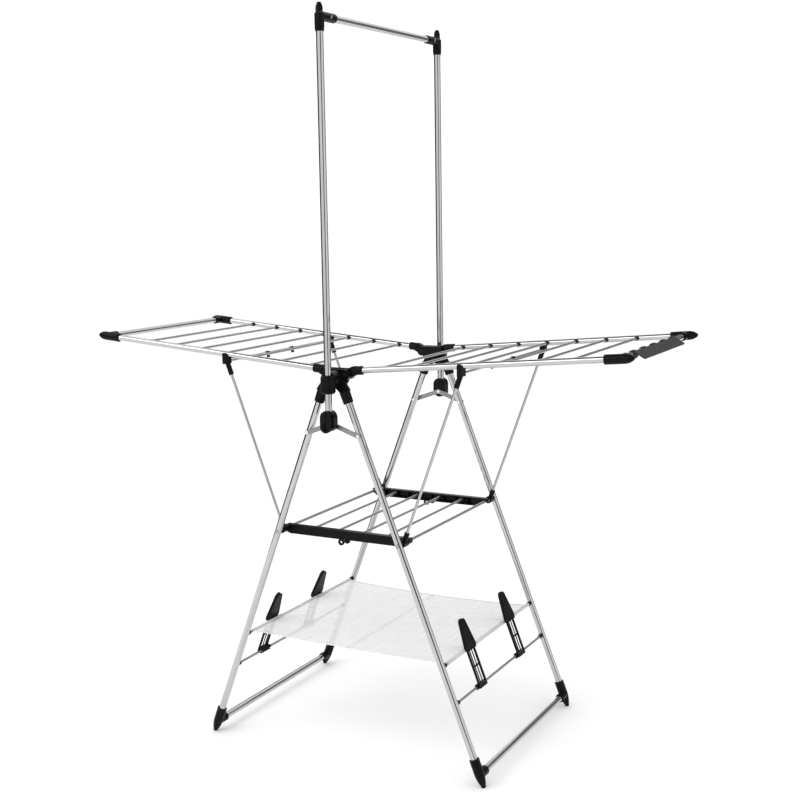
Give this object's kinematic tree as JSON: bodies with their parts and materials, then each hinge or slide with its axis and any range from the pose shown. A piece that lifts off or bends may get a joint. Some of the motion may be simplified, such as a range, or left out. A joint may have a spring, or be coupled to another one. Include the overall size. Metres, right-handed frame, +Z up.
{
  "type": "clothes drying rack",
  "caption": "Free-standing winged clothes drying rack with crossed folding legs, a raised hanger rail, a middle shelf, a sweater net and shoe holders.",
  "frame": {"origin": "on the floor, under the middle of the rack", "axes": "+X along the wings to the right, +Y through the depth to the rear, +Z up"},
  "size_m": [1.3706, 0.6024, 1.7],
  "materials": {
    "silver_tube": "glossy silver powder coat",
    "rod_steel": "satin silver coating",
    "black_plastic": "satin moulded",
    "grey_plastic": "satin moulded",
    "net_fabric": "fine white net",
    "plain_steel": "zinc plated",
    "bright_steel": "bright"
  },
  "bodies": {
    "hub": {"hub_blocks": "black_plastic", "pole_guides": "black_plastic", "hub_bolts": "bright_steel", "wing_pins": "bright_steel", "sweater_net": "net_fabric"},
    "left_legs": {"left_leg_sockets": "black_plastic", "left_leg_tubes": "silver_tube", "left_feet": "black_plastic", "left_foot_bar": "silver_tube", "left_side_rods": "rod_steel", "left_rod_plugs": "black_plastic", "left_pivot_rod": "rod_steel", "left_link_rivets": "bright_steel", "left_net_hem": "net_fabric"},
    "left_links": {"left_links": "plain_steel"},
    "left_wing": {"left_wing_sockets": "black_plastic", "left_wing_side_tubes": "silver_tube", "left_wing_end_bar": "silver_tube", "left_corner_fittings": "black_plastic", "left_wing_rods": "rod_steel", "left_wing_rod_clips": "black_plastic"},
    "left_strut": {"left_strut_frame": "rod_steel", "left_strut_fittings": "black_plastic", "left_strut_clips": "black_plastic"},
    "right_legs": {"right_leg_sockets": "black_plastic", "right_leg_tubes": "silver_tube", "right_feet": "black_plastic", "right_foot_bar": "silver_tube", "right_side_rods": "rod_steel", "right_rod_plugs": "black_plastic", "right_pivot_rod": "rod_steel", "right_link_rivets": "bright_steel", "right_net_hem": "net_fabric"},
    "right_links": {"right_links": "plain_steel", "link_centre_heads": "bright_steel"},
    "right_wing": {"right_wing_sockets": "black_plastic", "right_wing_side_tubes": "silver_tube", "right_wing_end_bar": "silver_tube", "right_corner_fittings": "black_plastic", "right_wing_rods": "rod_steel", "right_wing_rod_clips": "black_plastic"},
    "right_strut": {"right_strut_frame": "rod_steel", "right_strut_fittings": "black_plastic", "right_strut_clips": "black_plastic"},
    "shelf": {"shelf_rails": "black_plastic", "shelf_rods": "rod_steel"},
    "garment_frame": {"garment_poles": "silver_tube", "garment_bar": "silver_tube", "top_fittings": "black_plastic", "top_screws": "bright_steel", "pole_brackets": "black_plastic"},
    "clip_strip": {"clip_strip": "grey_plastic"},
    "right_front_shoe_holder": {"right_front_shoe_holder": "black_plastic"},
    "right_rear_shoe_holder": {"right_rear_shoe_holder": "black_plastic"},
    "left_front_shoe_holder": {"left_front_shoe_holder": "black_plastic"},
    "left_rear_shoe_holder": {"left_rear_shoe_holder": "black_plastic"}
  },
  "joints": [
    {"name": "right_leg_fold", "type": "hinge", "parent": "hub", "child": "right_legs", "pos_m": [0, 0, 0.89], "axis": [0, 1, 0], "range_deg": [0, 20], "deforming": ["sweater_net"]},
    {"name": "left_leg_fold", "type": "hinge", "parent": "hub", "child": "left_legs", "pos_m": [0, 0, 0.89], "axis": [0, -1, 0], "range_deg": [0, 20]},
    {"name": "shelf_fold", "type": "hinge", "parent": "left_legs", "child": "shelf", "pos_m": [-0.15882, 0, 0.526], "axis": [0, -1, 0], "range_deg": [0, 56]},
    {"name": "right_link_turn", "type": "hinge", "parent": "right_legs", "child": "right_links", "pos_m": [0.06574, 0, 0.767], "axis": [0, 1, 0], "range_deg": [0, 34.3]},
    {"name": "left_link_turn", "type": "hinge", "parent": "left_legs", "child": "left_links", "pos_m": [-0.06574, 0, 0.767], "axis": [0, -1, 0], "range_deg": [0, 34.3]},
    {"name": "garment_frame_lift", "type": "slide", "parent": "hub", "child": "garment_frame", "axis": [0, 0, 1], "range_m": [0, 0.0292]},
    {"name": "right_wing_fold", "type": "hinge", "parent": "hub", "child": "right_wing", "pos_m": [0.024, 0, 0.9], "axis": [0, 1, 0], "range_deg": [0, 58]},
    {"name": "right_strut_swing", "type": "hinge", "parent": "right_legs", "child": "right_strut", "pos_m": [0.15882, 0, 0.526], "axis": [0, 1, 0], "range_deg": [0, 125.5]},
    {"name": "left_wing_fold", "type": "hinge", "parent": "hub", "child": "left_wing", "pos_m": [-0.024, 0, 0.9], "axis": [0, -1, 0], "range_deg": [0, 58]},
    {"name": "left_strut_swing", "type": "hinge", "parent": "left_legs", "child": "left_strut", "pos_m": [-0.15882, 0, 0.526], "axis": [0, -1, 0], "range_deg": [0, 125.5]},
    {"name": "clip_strip_swing", "type": "hinge", "parent": "right_wing", "child": "clip_strip", "pos_m": [0.6571, 0, 0.96175], "axis": [0, 1, 0], "range_deg": [-60, 45]},
    {"name": "right_front_shoe_holder_slide", "type": "slide", "parent": "right_legs", "child": "right_front_shoe_holder", "axis": [0, 1, 0], "range_m": [-0.085, 0.075]},
    {"name": "right_rear_shoe_holder_slide", "type": "slide", "parent": "right_legs", "child": "right_rear_shoe_holder", "axis": [0, 1, 0], "range_m": [-0.075, 0.105]},
    {"name": "left_front_shoe_holder_slide", "type": "slide", "parent": "left_legs", "child": "left_front_shoe_holder", "axis": [0, 1, 0], "range_m": [-0.075, 0.075]},
    {"name": "left_rear_shoe_holder_slide", "type": "slide", "parent": "left_legs", "child": "left_rear_shoe_holder", "axis": [0, 1, 0], "range_m": [-0.07, 0.13]}
  ],
  "couplings": [
    {"joint": "left_leg_fold", "follows": "right_leg_fold", "ratio": 1},
    {"joint": "shelf_fold", "follows": "right_leg_fold", "ratio": 2.8},
    {"joint": "right_link_turn", "follows": "right_leg_fold", "ratio": 1.7141},
    {"joint": "left_link_turn", "follows": "right_leg_fold", "ratio": 1.7141},
    {"joint": "garment_frame_lift", "follows": "right_leg_fold", "m_per_rad": 0.082313},
    {"joint": "right_strut_swing", "follows": "right_wing_fold", "ratio": 2.1552},
    {"joint": "left_strut_swing", "follows": "left_wing_fold", "ratio": 2.1552}
  ]
}
